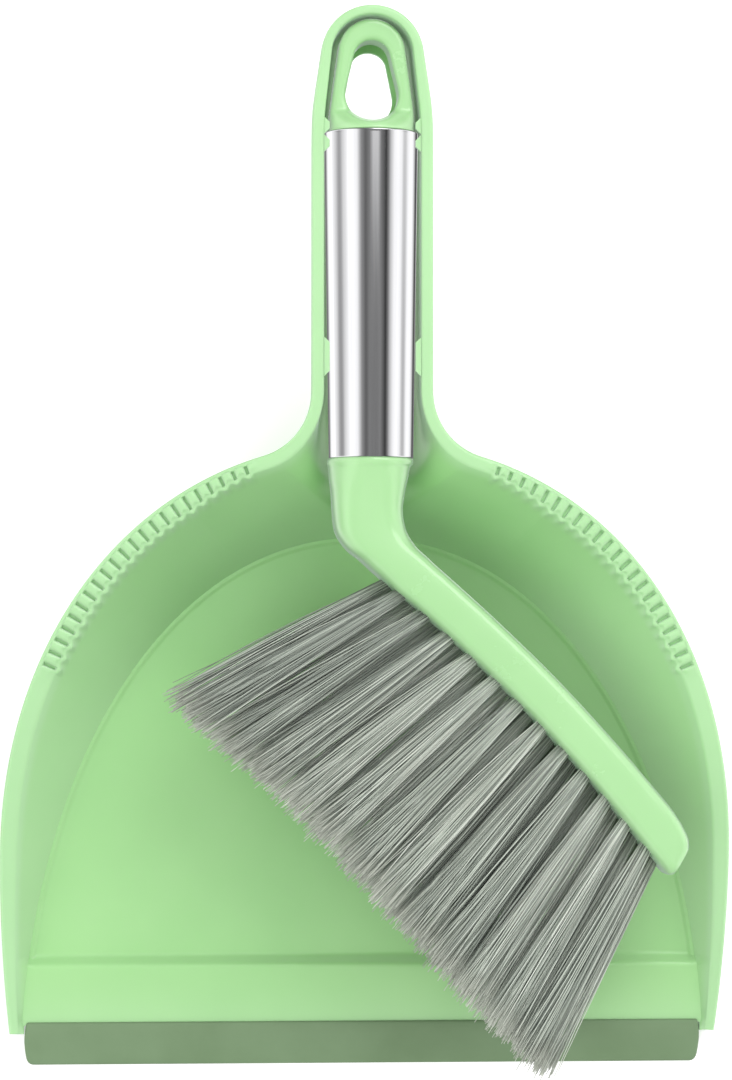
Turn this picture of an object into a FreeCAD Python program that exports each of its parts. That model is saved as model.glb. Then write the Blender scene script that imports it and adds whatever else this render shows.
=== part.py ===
import FreeCAD, Part
import math
import os
from FreeCAD import Vector

# Dustpan and brush set, in millimetres. The pan stands flat on z = 0 with its mouth
# towards -Y and its channel handle towards +Y. The brush lies in the channel, and its
# bristles hang in the bowl. The origin is the middle of the underside.

# ---- pan outline, seen from above ----
BOWL_HALF_WIDTH = 110.0
BOWL_CENTRE_Y = -98.1
BOWL_BACK_DEPTH = 127.3
RIM_POWER = 2.19
FRONT_HALF_WIDTH = 107.3
PAN_FRONT_Y = -148.6
HANDLE_END_Y = 158.1
HANDLE_HALF_WIDTH = 17.9
HANDLE_END_RADIUS = 15.2
TAPER_START_Y = 126.0
HANDLE_FILLET = 20.0

# ---- pan heights ----
RIM_FRONT_HEIGHT = 4.2
RIM_SLOPE = 0.255
HANDLE_TOP_Z = 48.0
RIM_BEND_RADIUS = 80.0
FLANGE_THICK = 2.2
SKIRT_DEPTH = 5.5
SKIRT_THICK = 1.6
WALL = 2.0

# ---- pan bowl: floor edge and the wall that leans out from it ----
FLOOR_TOP_Z = 2.0
FLOOR_HALF_WIDTH = 104.2
FLOOR_DEPTH = 170.0
FLOOR_CENTRE_Y = -168.1
FLOOR_POWER = 2.105
WALL_TOP_Z = 60.0
WALL_TOP_HALF_WIDTH = 141.4
WALL_TOP_DEPTH = 198.5
WALL_TOP_CENTRE_Y = -168.6
WALL_TOP_POWER = 2.216
LEDGE_WIDTH = 1.3
LEDGE_HEIGHT = 0.8
PLATE_MARGIN = 1.5
PLATE_LAP = 0.5

# ---- ramp behind the mouth ----
RAMP_BACK_Y = -124.4
RAMP_CREST_Y = -128.0
RAMP_CREST_Z = 5.4
RAMP_CREST_FLAT = 1.5
RAMP_FRONT_Z = 3.2

# ---- rubber lip ----
LIP_FRONT_Y = -158.1
LIP_BACK_Y = -145.1
LIP_HALF_WIDTH = 102.8
LIP_BACK_Z = 4.2
LIP_FRONT_Z = 1.4
LIP_FLAT = 2.0
LIP_CORNER_RADIUS = 2.5
LIP_GRIP_INSET = 3.0
TONGUE_BOTTOM_Z = 1.2
TONGUE_TOP_Z = 2.6

# ---- channel in the handle ----
AXIS_Z = 39.0
CHANNEL_RADIUS = 14.3
CHANNEL_END_Y = 155.4
CHANNEL_END_RADIUS = 12.3
CHANNEL_LOW_Y = -20.0
MOUTH_BLEND = 10.0
HANG_SLOT_LOW_Y = 124.9
HANG_SLOT_HIGH_Y = 147.0
HANG_SLOT_LOW_HALF = 7.2
HANG_SLOT_HIGH_HALF = 5.4
CAP_SLOT_LOW_Y = 124.0
CAP_SLOT_HIGH_Y = 148.0
CAP_SLOT_LOW_HALF = 7.9

# ---- comb of grooves on the rim ----
GROOVES_PER_SIDE = 22
GROOVE_FIRST_X = 38.0
GROOVE_LAST_X = 98.0
GROOVE_WIDTH = 1.2
GROOVE_LENGTH = 4.0
GROOVE_DEPTH = 1.5
GROOVE_INSET = 1.5

# ---- snap lugs in the channel ----
LUG_REACH = 1.6
LUG_LOW_Z = 45.2
LUG_HIGH_Z = 47.4
LUG_SETS = ((54.0, 8.4), (117.0, 1.8), (122.3, 1.8))

# ---- brush handle ----
SLEEVE_LOW_Y = 24.3
SLEEVE_HIGH_Y = 120.9
SLEEVE_LOW_RADIUS = 12.55
SLEEVE_HIGH_RADIUS = 13.95
SLEEVE_WALL = 0.7
CORE_GAP = 0.1
CORE_HIGH_Y = 104.0
CORE_BORE_RADIUS = 8.0
CORE_BORE_LOW_Y = 30.0
CAP_END_Y = 154.4
CAP_END_RADIUS = 9.9
CAP_THICK = 12.0
CAP_HALF_WIDTH = 13.25
CAP_SHOULDER = 9.0
CAP_SPIGOT = 16.0

# ---- brush head and bristles ----
FACE_ARC = (Vector(4.5, -11.6, 0), Vector(46.0, -47.6, 0), Vector(85.5, -95.0, 0))
TUFTS_IN_ROWS = (12, 13, 12)
TUFT_LENGTH = 72.0
TUFT_LENGTH_LOSS = 7.0
FAN_FIRST_DEG = 209.0
FAN_LAST_DEG = 250.0
ROW_PITCH_Z = 7.6
ROW_SPLAY_DEG = 1.4
TUFT_SOCKET_RADIUS = 2.3
TUFT_SOCKET_DEPTH = 8.0
TUFT_ROOT_RADIUS = 2.1
TUFT_TIP_RADIUS = 3.9
STAPLE_WIDTH = 3.2
STAPLE_HEIGHT = 2.4
STAPLE_THICK = 0.5

BIG = 400.0


# ---------------------------------------------------------------- helpers
def superellipse_half(half_width, depth, centre_y, power, z, count=24):
    """Open curve from (-half_width, centre_y) round the back to (+half_width, centre_y)."""
    points = []
    for i in range(count + 1):
        angle = math.pi * i / count
        c = -math.cos(angle)
        s = math.sin(angle)
        x = math.copysign(abs(c) ** (2.0 / power), c) * half_width
        y = centre_y + depth * max(s, 0.0) ** (2.0 / power)
        points.append(Vector(x, y, z))
    curve = Part.BSplineCurve()
    curve.interpolate(points)
    return curve.toShape()


def polyline(points):
    return [Part.LineSegment(a, b).toShape() for a, b in zip(points, points[1:])]


def bowl_wire(half_width, depth, centre_y, power, z, front_y, front_half_width):
    """Closed outline: the curved back, and straight sides down to the mouth."""
    back = superellipse_half(half_width, depth, centre_y, power, z)
    sides = polyline([
        Vector(half_width, centre_y, z),
        Vector(front_half_width, front_y, z),
        Vector(-front_half_width, front_y, z),
        Vector(-half_width, centre_y, z),
    ])
    return Part.Wire([back] + sides)


def prism(wire, low_z, high_z):
    placed = wire.copy()
    placed.translate(Vector(0, 0, low_z - placed.BoundBox.ZMin))
    return Part.Face(placed).extrude(Vector(0, 0, high_z - low_z))


def stretched_along_x(points_yz, half_width=BIG / 2):
    """Prism along X from a closed outline in the YZ plane."""
    outline = [Vector(-half_width, y, z) for y, z in points_yz]
    face = Part.Face(Part.makePolygon(outline + outline[:1]))
    return face.extrude(Vector(2 * half_width, 0, 0))


def end_loop_wire(half_width, end_radius, end_y, low_y, taper_y=TAPER_START_Y):
    """Outline of a bar along Y that narrows from `taper_y` into a round end."""
    centre_y = end_y - end_radius
    run = centre_y - taper_y
    lean = math.acos(end_radius / math.hypot(half_width, run)) - math.atan2(run, half_width)
    touch_x = end_radius * math.cos(lean)
    touch_y = centre_y + end_radius * math.sin(lean)
    arch = Part.Arc(Vector(touch_x, touch_y, 0), Vector(0, end_y, 0),
                    Vector(-touch_x, touch_y, 0)).toShape()
    legs = polyline([
        Vector(-touch_x, touch_y, 0),
        Vector(-half_width, taper_y, 0),
        Vector(-half_width, low_y, 0),
        Vector(half_width, low_y, 0),
        Vector(half_width, taper_y, 0),
        Vector(touch_x, touch_y, 0),
    ])
    return Part.Wire(Part.__sortEdges__([arch] + legs))


def vertical_edges_near(shape, x, y, reach):
    chosen = []
    for edge in shape.Edges:
        box = edge.BoundBox
        upright = box.ZLength > 1.0 and box.XLength < 0.01 and box.YLength < 0.01
        if upright and abs(abs(box.XMin) - x) < reach and abs(box.YMin - y) < reach:
            chosen.append(edge)
    return chosen


def rim_height(y):
    """Height of the rim plane over the bowl, before it bends level for the handle."""
    return RIM_FRONT_HEIGHT + RIM_SLOPE * (y - PAN_FRONT_Y)


BEND_Y = PAN_FRONT_Y + (HANDLE_TOP_Z - RIM_FRONT_HEIGHT) / RIM_SLOPE


def region_above_rim(drop):
    """Everything above a surface that lies `drop` under the top of the rim."""
    half_turn = math.atan(RIM_SLOPE) / 2
    reach = RIM_BEND_RADIUS * math.tan(half_turn)
    steps = 6
    curve = []
    for i in range(steps + 1):
        angle = 2 * half_turn * (1 - i / steps)
        y = BEND_Y + reach - RIM_BEND_RADIUS * math.sin(angle)
        z = HANDLE_TOP_Z - RIM_BEND_RADIUS * (1 - math.cos(angle))
        curve.append((y, z - drop))
    front = (-BIG / 2, rim_height(-BIG / 2) - drop)
    back = (BIG / 2, HANDLE_TOP_Z - drop)
    outline = [front] + curve + [back, (BIG / 2, BIG), (-BIG / 2, BIG)]
    return stretched_along_x(outline)


# ---------------------------------------------------------------- pan
def pan_outline_prism(inset, low_z, high_z):
    """Upright prism of the whole pan outline, drawn in by `inset`."""
    bowl = prism(bowl_wire(BOWL_HALF_WIDTH - inset, BOWL_BACK_DEPTH - inset,
                           BOWL_CENTRE_Y, RIM_POWER, 0, PAN_FRONT_Y,
                           FRONT_HALF_WIDTH - inset), low_z, high_z)
    handle = prism(end_loop_wire(HANDLE_HALF_WIDTH - inset, HANDLE_END_RADIUS - inset,
                                 HANDLE_END_Y - inset, 0.0), low_z, high_z)
    both = bowl.fuse(handle)
    back_y = BOWL_CENTRE_Y + BOWL_BACK_DEPTH - inset
    corners = vertical_edges_near(both, HANDLE_HALF_WIDTH - inset, back_y, 3.0)
    return both.makeFillet(HANDLE_FILLET + inset, corners)


def leaning_bowl(grow, low_z, front_y):
    """Solid whose side is the bowl's inner wall, moved outward by `grow`."""
    share = (low_z - FLOOR_TOP_Z) / (WALL_TOP_Z - FLOOR_TOP_Z)
    wall_gain = WALL_TOP_HALF_WIDTH - FLOOR_HALF_WIDTH
    depth_gain = WALL_TOP_DEPTH - FLOOR_DEPTH
    low = bowl_wire(FLOOR_HALF_WIDTH + share * wall_gain + grow,
                    FLOOR_DEPTH + share * depth_gain + grow,
                    FLOOR_CENTRE_Y, FLOOR_POWER, low_z, front_y,
                    FLOOR_HALF_WIDTH + share * wall_gain + grow)
    high = bowl_wire(WALL_TOP_HALF_WIDTH + grow, WALL_TOP_DEPTH + grow,
                     WALL_TOP_CENTRE_Y, WALL_TOP_POWER, WALL_TOP_Z, front_y,
                     WALL_TOP_HALF_WIDTH + grow)
    return Part.makeLoft([low, high], True, True)


def channel_trough(radius, end_y, end_radius, low_y):
    """Trough with a half-round bottom and upright sides, rounded at the far end."""
    plan = prism(end_loop_wire(radius, end_radius, end_y, low_y), 0, BIG / 2)
    round_bottom = Part.makeCylinder(radius, BIG, Vector(0, -BIG / 2, AXIS_Z), Vector(0, 1, 0))
    upper = Part.makeBox(2 * radius, BIG, BIG / 2, Vector(-radius, -BIG / 2, AXIS_Z))
    return plan.common(round_bottom.fuse(upper))


def comb_grooves():
    """Grooves across the rim, evenly spaced along it on both sides."""
    cutters = []
    spacing = []
    samples = 200
    for i in range(samples + 1):
        x = GROOVE_FIRST_X + (GROOVE_LAST_X - GROOVE_FIRST_X) * i / samples
        across = (x / BOWL_HALF_WIDTH) ** RIM_POWER
        spacing.append((x, BOWL_CENTRE_Y + BOWL_BACK_DEPTH * (1 - across) ** (1 / RIM_POWER)))
    lengths = [0.0]
    for (x0, y0), (x1, y1) in zip(spacing, spacing[1:]):
        lengths.append(lengths[-1] + math.hypot(x1 - x0, y1 - y0))
    for k in range(GROOVES_PER_SIDE):
        wanted = lengths[-1] * k / (GROOVES_PER_SIDE - 1)
        i = min(range(len(lengths)), key=lambda j: abs(lengths[j] - wanted))
        x, y = spacing[i]
        before = spacing[max(i - 1, 0)]
        after = spacing[min(i + 1, len(spacing) - 1)]
        heading = math.degrees(math.atan2(after[1] - before[1], after[0] - before[0]))
        top = min(rim_height(y), HANDLE_TOP_Z)
        groove = Part.makeBox(GROOVE_WIDTH, GROOVE_LENGTH, HANDLE_TOP_Z,
                              Vector(-GROOVE_WIDTH / 2, -GROOVE_INSET - GROOVE_LENGTH,
                                     -GROOVE_DEPTH))
        groove.rotate(Vector(0, 0, 0), Vector(0, 0, 1), heading)
        groove.translate(Vector(x, y, top))
        cutters.append(groove)
        cutters.append(groove.mirror(Vector(0, 0, 0), Vector(1, 0, 0)))
    return cutters


def hang_slot_wire(low_y, high_y, low_half, high_half):
    """Egg-shaped hole: a wide round low end and a narrow round high end."""
    low_centre = Vector(0, low_y + low_half, 0)
    high_centre = Vector(0, high_y - high_half, 0)
    lean = math.asin((low_half - high_half) / (high_centre.y - low_centre.y))
    across = Vector(math.cos(lean), math.sin(lean), 0)
    mirrored = Vector(-across.x, across.y, 0)
    low_right = low_centre + across * low_half
    high_right = high_centre + across * high_half
    low_left = low_centre + mirrored * low_half
    high_left = high_centre + mirrored * high_half
    edges = [
        Part.Arc(high_right, Vector(0, high_y, 0), high_left).toShape(),
        Part.LineSegment(high_left, low_left).toShape(),
        Part.Arc(low_left, Vector(0, low_y, 0), low_right).toShape(),
        Part.LineSegment(low_right, high_right).toShape(),
    ]
    return Part.Wire(edges)


def dustpan_shell():
    mouth_far_y = PAN_FRONT_Y - 30.0
    outline = pan_outline_prism(0.0, 0.0, BIG / 4)
    # body: the bowl's outside, the trough's outside, and a flange under the rim plane
    ledge_z = FLOOR_TOP_Z + LEDGE_HEIGHT
    bowl_outside = leaning_bowl(WALL, ledge_z, mouth_far_y)
    trough_outside = channel_trough(CHANNEL_RADIUS + WALL, CHANNEL_END_Y + WALL,
                                    CHANNEL_END_RADIUS + WALL, CHANNEL_LOW_Y)
    below_flange = region_above_rim(FLANGE_THICK)
    flange = outline.common(below_flange)
    ring = outline.cut(pan_outline_prism(SKIRT_THICK, 0.0, BIG / 4))
    skirt = ring.common(region_above_rim(SKIRT_DEPTH))
    plate_half = FLOOR_HALF_WIDTH + PLATE_MARGIN
    floor_plate = prism(bowl_wire(plate_half, FLOOR_DEPTH + PLATE_MARGIN, FLOOR_CENTRE_Y,
                                  FLOOR_POWER, 0, mouth_far_y, plate_half), 0.0, ledge_z + PLATE_LAP)
    body = blend_trough_mouth(bowl_outside.fuse(trough_outside), MOUTH_BLEND - WALL)
    body = body.fuse(floor_plate).common(outline)
    body = body.fuse([flange, skirt]).cut(region_above_rim(0.0))
    # ramp behind the mouth, and the tongue that the rubber lip grips
    ramp_outline = [
        (RAMP_BACK_Y, 0.0),
        (RAMP_BACK_Y, FLOOR_TOP_Z),
        (RAMP_CREST_Y, RAMP_CREST_Z),
        (RAMP_CREST_Y - RAMP_CREST_FLAT, RAMP_CREST_Z),
        (LIP_BACK_Y, RAMP_FRONT_Z),
        (LIP_BACK_Y, 0.0),
    ]
    # hollow of the bowl and of the handle
    bowl = leaning_bowl(0.0, ledge_z, mouth_far_y)
    pocket_half = FLOOR_HALF_WIDTH - LEDGE_WIDTH
    floor_pocket = prism(bowl_wire(pocket_half, FLOOR_DEPTH - LEDGE_WIDTH, FLOOR_CENTRE_Y,
                                   FLOOR_POWER, 0, mouth_far_y, pocket_half),
                         FLOOR_TOP_Z, FLOOR_TOP_Z + 2 * LEDGE_HEIGHT)
    trough = channel_trough(CHANNEL_RADIUS, CHANNEL_END_Y, CHANNEL_END_RADIUS, CHANNEL_LOW_Y)
    hollow = blend_trough_mouth(bowl.fuse(trough), MOUTH_BLEND).fuse(floor_pocket)
    ramp = stretched_along_x(ramp_outline).common(body)
    hollow = hollow.cut(ramp)
    body = body.cut(hollow)
    # front: cut back to the lip, leaving the tongue
    lip_space = Part.makeBox(2 * LIP_HALF_WIDTH, LIP_BACK_Y - mouth_far_y, HANDLE_TOP_Z,
                             Vector(-LIP_HALF_WIDTH, mouth_far_y, 0))
    body = body.cut(lip_space).fuse(lip_tongue(WALL))
    hang = prism(hang_slot_wire(HANG_SLOT_LOW_Y, HANG_SLOT_HIGH_Y, HANG_SLOT_LOW_HALF,
                                HANG_SLOT_HIGH_HALF), 0, AXIS_Z)
    body = body.cut([hang] + comb_grooves())
    return body.removeSplitter()


def blend_trough_mouth(joined, radius):
    """Round the corner where the trough runs out into the bowl."""
    corner = []
    for edge in joined.Edges:
        box = edge.BoundBox
        middle = edge.valueAt((edge.FirstParameter + edge.LastParameter) / 2)
        near = abs(middle.x) < CHANNEL_RADIUS + WALL + 1 and 5.0 < middle.y < 35.0
        if near and middle.z < WALL_TOP_Z - 1 and box.YLength > 0.01 and box.YMax < 35.0:
            corner.append(edge)
    return joined.makeFillet(radius, corner)


def lip_tongue(root):
    """Thin edge of the pan inside the rubber lip, reaching `root` back into the floor."""
    half = LIP_HALF_WIDTH - LIP_GRIP_INSET
    return Part.makeBox(2 * half, LIP_BACK_Y + root - PAN_FRONT_Y, TONGUE_TOP_Z - TONGUE_BOTTOM_Z,
                        Vector(-half, PAN_FRONT_Y, TONGUE_BOTTOM_Z))


def rubber_lip():
    profile = [
        (LIP_BACK_Y, 0.0),
        (LIP_BACK_Y, LIP_BACK_Z),
        (LIP_BACK_Y - LIP_FLAT, LIP_BACK_Z),
        (LIP_FRONT_Y, LIP_FRONT_Z),
        (LIP_FRONT_Y, 0.0),
    ]
    lip = stretched_along_x(profile, LIP_HALF_WIDTH)
    corners = vertical_edges_near(lip, LIP_HALF_WIDTH, LIP_FRONT_Y, 1.0)
    return lip.makeFillet(LIP_CORNER_RADIUS, corners).cut(lip_tongue(WALL))


def handle_snap_lugs():
    """Small ramps moulded on the trough's walls, which hold the brush handle in."""
    lugs = []
    for centre_y, length in LUG_SETS:
        low_y = centre_y - length / 2 - LUG_REACH
        high_y = centre_y + length / 2 + LUG_REACH
        for side in (-1, 1):
            wall_x = side * CHANNEL_RADIUS
            tip_x = side * (CHANNEL_RADIUS - LUG_REACH)
            outline = Part.makePolygon([
                Vector(wall_x, low_y, 0),
                Vector(tip_x, centre_y - length / 2, 0),
                Vector(tip_x, centre_y + length / 2, 0),
                Vector(wall_x, high_y, 0),
                Vector(wall_x, low_y, 0),
            ])
            lugs.append(prism(Part.Wire(outline.Edges), LUG_LOW_Z, LUG_HIGH_Z))
    return Part.makeCompound(lugs)


# ---------------------------------------------------------------- brush
def head_section(centre, tangent, half_in_plane, half_z, squareness):
    """Closed superellipse section of the neck or head, square to its path."""
    side = Vector(tangent.y, -tangent.x, 0)
    side.normalize()
    points = []
    count = 28
    for i in range(count):
        angle = 2 * math.pi * i / count
        c = math.cos(angle)
        s = math.sin(angle)
        u = math.copysign(abs(c) ** (2.0 / squareness), c) * half_in_plane
        w = math.copysign(abs(s) ** (2.0 / squareness), s) * half_z
        points.append(centre + side * u + Vector(0, 0, w))
    curve = Part.BSplineCurve()
    curve.interpolate(points, PeriodicFlag=True)
    return Part.Wire([curve.toShape()])


# centre x, centre y, heading in degrees from +Y, half width in plan, half height, squareness
HEAD_STATIONS = (
    (-0.2, 24.3, 180.0, 12.6, 12.6, 2.0),
    (-0.5, 21.6, 180.0, 12.2, 12.5, 2.1),
    (-0.8, 18.5, 180.0, 11.7, 12.4, 2.4),
    (-1.0, 14.6, 180.0, 11.0, 12.4, 2.8),
    (-1.2, 8.7, 180.0, 10.4, 12.5, 3.4),
    (-0.4, 3.1, 181.4, 10.4, 12.6, 4.0),
    (2.5, -1.8, 187.2, 9.6, 12.8, 4.4),
    (7.1, -6.1, 201.5, 7.7, 13.0, 4.6),
    (13.1, -11.6, 218.0, 7.0, 13.2, 4.8),
    (31.1, -27.5, 225.9, 6.7, 13.4, 5.0),
    (50.0, -45.8, 223.8, 6.6, 13.4, 5.0),
    (68.1, -65.5, 221.6, 6.6, 13.4, 5.0),
    (79.0, -78.4, 222.0, 6.7, 13.4, 5.0),
    (86.4, -87.6, 236.0, 6.9, 13.3, 5.0),
    (90.3, -93.3, 240.5, 6.2, 12.6, 4.6),
    (91.1, -94.4, 240.0, 5.1, 11.6, 4.4),
)


def heading_vector(heading_deg):
    return Vector(-math.sin(math.radians(heading_deg)), math.cos(math.radians(heading_deg)), 0)


def brush_stock():
    sections = []
    for x, y, heading, half_plan, half_z, squareness in HEAD_STATIONS:
        sections.append(head_section(Vector(x, y, AXIS_Z), heading_vector(heading),
                                     half_plan, half_z, squareness))
    head = Part.makeLoft(sections, True, True)
    core_radius = SLEEVE_LOW_RADIUS - SLEEVE_WALL - CORE_GAP
    along = Vector(0, 1, 0)
    core = Part.makeCylinder(core_radius, CORE_HIGH_Y - SLEEVE_LOW_Y + WALL,
                             Vector(0, SLEEVE_LOW_Y - WALL, AXIS_Z), along)
    bore = Part.makeCylinder(CORE_BORE_RADIUS, CORE_HIGH_Y - CORE_BORE_LOW_Y,
                             Vector(0, CORE_BORE_LOW_Y, AXIS_Z), along)
    sockets = []
    for root, aim, length in tuft_places():
        bottom = root - aim * TUFT_SOCKET_DEPTH
        sockets.append(Part.makeCylinder(TUFT_SOCKET_RADIUS, 2 * TUFT_SOCKET_DEPTH, bottom, aim))
    return head.fuse(core).cut([bore] + sockets)


def steel_sleeve():
    length = SLEEVE_HIGH_Y - SLEEVE_LOW_Y
    start = Vector(0, SLEEVE_LOW_Y, AXIS_Z)
    along = Vector(0, 1, 0)
    outside = Part.makeCone(SLEEVE_LOW_RADIUS, SLEEVE_HIGH_RADIUS, length, start, along)
    inside = Part.makeCone(SLEEVE_LOW_RADIUS - SLEEVE_WALL, SLEEVE_HIGH_RADIUS - SLEEVE_WALL,
                           length, start, along)
    return outside.cut(inside)


def loop_cap():
    """Flat hanging loop that plugs the far end of the sleeve."""
    along = Vector(0, 1, 0)
    seat = Vector(0, SLEEVE_HIGH_Y, AXIS_Z)
    plan = end_loop_wire(CAP_HALF_WIDTH, CAP_END_RADIUS, CAP_END_Y,
                         SLEEVE_HIGH_Y - 2 * WALL, SLEEVE_HIGH_Y)
    loop = prism(plan, AXIS_Z - CAP_THICK / 2, AXIS_Z + CAP_THICK / 2)
    loop = loop.common(Part.makeCylinder(SLEEVE_HIGH_RADIUS, BIG / 4, seat, along))
    shoulder = Part.makeCone(SLEEVE_HIGH_RADIUS, CAP_THICK / 2, CAP_SHOULDER, seat, along)
    hole = prism(hang_slot_wire(CAP_SLOT_LOW_Y, CAP_SLOT_HIGH_Y, CAP_SLOT_LOW_HALF,
                                HANG_SLOT_HIGH_HALF), 0, BIG / 4)
    cap = loop.fuse(shoulder).removeSplitter().cut(hole)
    spigot = Part.makeCylinder(SLEEVE_LOW_RADIUS - SLEEVE_WALL - CORE_GAP, CAP_SPIGOT,
                               seat - along * CAP_SPIGOT, along)
    return cap.fuse(spigot)


def face_point(share):
    """Point on the bristle face of the head, at a share of its length."""
    arc = Part.Arc(*FACE_ARC).toShape()
    return arc.valueAt(arc.FirstParameter + (arc.LastParameter - arc.FirstParameter) * share)


def tuft_places():
    """Root, unit direction and length of each tuft, row by row from the floor side."""
    places = []
    rows = len(TUFTS_IN_ROWS)
    for row, count in enumerate(TUFTS_IN_ROWS):
        level = row - (rows - 1) / 2
        for k in range(count):
            stagger = (max(TUFTS_IN_ROWS) - count) / 2
            share = (k + stagger + 0.15) / (max(TUFTS_IN_ROWS) - 0.7)
            root = face_point(share)
            angle = math.radians(FAN_FIRST_DEG + (FAN_LAST_DEG - FAN_FIRST_DEG) * share)
            aim = Vector(math.cos(angle), math.sin(angle), 0)
            splay = math.radians(ROW_SPLAY_DEG) * level
            aim = Vector(aim.x * math.cos(splay), aim.y * math.cos(splay), math.sin(splay))
            length = TUFT_LENGTH - TUFT_LENGTH_LOSS * share
            places.append((Vector(root.x, root.y, AXIS_Z + level * ROW_PITCH_Z), aim, length))
    return places


def tufts():
    """Each bundle of bristles as one plain cone that widens towards its tips."""
    made = []
    inside = TUFT_SOCKET_DEPTH - STAPLE_HEIGHT - 0.4
    for root, aim, length in tuft_places():
        made.append(Part.makeCone(TUFT_ROOT_RADIUS, TUFT_TIP_RADIUS, length + inside,
                                  root - aim * inside, aim))
    return made


def tuft_staples():
    """Flat wire anchors at the bottom of the sockets."""
    anchors = []
    for root, aim, length in tuft_places():
        flat = Part.makeBox(STAPLE_WIDTH, STAPLE_THICK, STAPLE_HEIGHT,
                            Vector(-STAPLE_WIDTH / 2, -STAPLE_THICK / 2, 0))
        turn = FreeCAD.Rotation(Vector(0, 0, 1), aim)
        flat.Placement = FreeCAD.Placement(root - aim * (TUFT_SOCKET_DEPTH - 0.1), turn)
        anchors.append(flat)
    return Part.makeCompound(anchors)


# ---------------------------------------------------------------- build
os.makedirs("parts", exist_ok=True)
nodes = {
    "dustpan_shell": dustpan_shell(),
    "rubber_lip": rubber_lip(),
    "handle_snap_lugs": handle_snap_lugs(),
    "brush_stock": brush_stock(),
    "steel_sleeve": steel_sleeve(),
    "loop_cap": loop_cap(),
    "tuft_staples": tuft_staples(),
}
for number, tuft in enumerate(tufts(), start=1):
    nodes["tuft_%02d" % number] = tuft
for name, shape in nodes.items():
    shape.exportStep("parts/%s.step" % name)
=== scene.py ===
import math

import bmesh
import bpy
import numpy as np
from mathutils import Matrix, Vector


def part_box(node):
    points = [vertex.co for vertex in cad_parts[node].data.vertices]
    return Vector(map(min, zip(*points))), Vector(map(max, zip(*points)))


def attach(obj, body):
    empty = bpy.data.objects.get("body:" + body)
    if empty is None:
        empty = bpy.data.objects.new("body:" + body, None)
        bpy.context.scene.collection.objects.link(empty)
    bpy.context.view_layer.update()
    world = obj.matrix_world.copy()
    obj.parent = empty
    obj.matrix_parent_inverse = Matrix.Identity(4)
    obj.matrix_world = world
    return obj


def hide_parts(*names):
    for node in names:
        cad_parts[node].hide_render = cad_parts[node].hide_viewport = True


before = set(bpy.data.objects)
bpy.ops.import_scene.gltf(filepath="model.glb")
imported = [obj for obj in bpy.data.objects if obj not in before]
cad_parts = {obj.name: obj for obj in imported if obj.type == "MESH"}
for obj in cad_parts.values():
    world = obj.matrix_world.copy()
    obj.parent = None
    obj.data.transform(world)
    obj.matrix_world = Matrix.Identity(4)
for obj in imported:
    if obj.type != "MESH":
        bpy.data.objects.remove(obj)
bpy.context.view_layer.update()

MM = 0.001
RNG = np.random.default_rng(7)


def box_mm(node):
    low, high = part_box(node)
    return np.array(low) / MM, np.array(high) / MM


# ------------------------------------------------------------------ driving sizes, mm
# low and high corners of the CAD pieces that the looks follow
PAN_LOW, PAN_HIGH = box_mm("dustpan_shell")
LIP_LOW, LIP_HIGH = box_mm("rubber_lip")
SLEEVE_LOW, SLEEVE_HIGH = box_mm("steel_sleeve")
CAP_HIGH = box_mm("loop_cap")[1]

# pan outline from above
HALF_WIDTH = PAN_HIGH[0]
BOWL_CENTRE_Y = -98.1
BOWL_DEPTH = 127.3
RIM_POWER = 2.13
FRONT_Y = PAN_LOW[1]
FRONT_DRAW_IN = 2.7
HANDLE_HALF = 17.9
HANDLE_END_RADIUS = 15.2
TAPER_START_Y = 126.0
HANDLE_END_Y = PAN_HIGH[1]
HANDLE_FILLET = 20.0

# pan heights
RIM_TOP_Z = PAN_HIGH[2]
RIM_FRONT_Z = 4.2
RIM_SLOPE = 0.255
SKIRT = 5.5
SKIRT_THICK = 1.6
FLANGE_THICK = 2.2
WALL = 2.0

# bowl
FLOOR_Z = 2.0
FLOOR_HALF = 104.2
FLOOR_DEPTH = 170.0
FLOOR_CENTRE_Y = -168.1
FLOOR_POWER = 2.105
LEDGE_Z = 2.8
LEDGE_WIDTH = 1.3
RAMP_BACK_Y = -124.4
RAMP_CREST_Y = -128.6
RAMP_CREST_Z = 5.4
RAMP_FRONT_Z = 3.2
LIP_BACK_Y = LIP_HIGH[1]
LIP_HALF = LIP_HIGH[0]
LIP_FRONT_RISE = 1.4
LIP_FLAT = 2.0
LIP_CORNER = 2.6

# rim: width of its flat band along the side, as places in y and widths
BAND_Y = (FRONT_Y, BOWL_CENTRE_Y, -40, -28, 14, 22, 32)
BAND_WIDTH = (2.8, 4.9, 5.6, 6.0, 6.0, 4.1, 3.8)
HANDLE_BAND = 3.6
HANDLE_END_BAND = 2.75
OUTER_ROUND = 1.0
INNER_ROUND = 0.9
TURN_STEPS = 6
WALL_STEPS = 22
SCALLOP_RUN = 3.5
FLOOR_COLUMNS = 36

# handle channel
AXIS_Z = (SLEEVE_LOW[2] + SLEEVE_HIGH[2]) / 2
CHANNEL_RADIUS = 14.3
FLARE_GAP = 9.0
FLARE_END_Y = 44.0
TROUGH_SHAPE_Y = 40.0
HANDLE_HOLE = (124.9, 147.0, 7.2, 5.4)
HANDLE_HOLE_Z = (15.0, 34.0)

# sleeve and loop cap
SLEEVE_WALL = 0.7
SLEEVE_TAPER = 1.4
CAP_END_RADIUS = 9.9
CAP_HOLE = (124.0, 148.0, 7.9, 5.4)
CAP_HALF_THICK = 6.0
CAP_ROUNDING = 1.5
CAP_VOXEL = 0.36
CAP_SWELL_RUN = 8.0

# comb
GROOVES = 22
COMB_X = (38.0, 98.0)
GROOVE_HALF = 0.52
GROOVE_DEPTH = 1.3
SCALLOP = 1.1
RIDGE_CROWN = 0.75


def smooth(t):
    t = np.clip(t, 0.0, 1.0)
    return t * t * (3 - 2 * t)


def blend(a, b, t):
    return a + (b - a) * t


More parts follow.
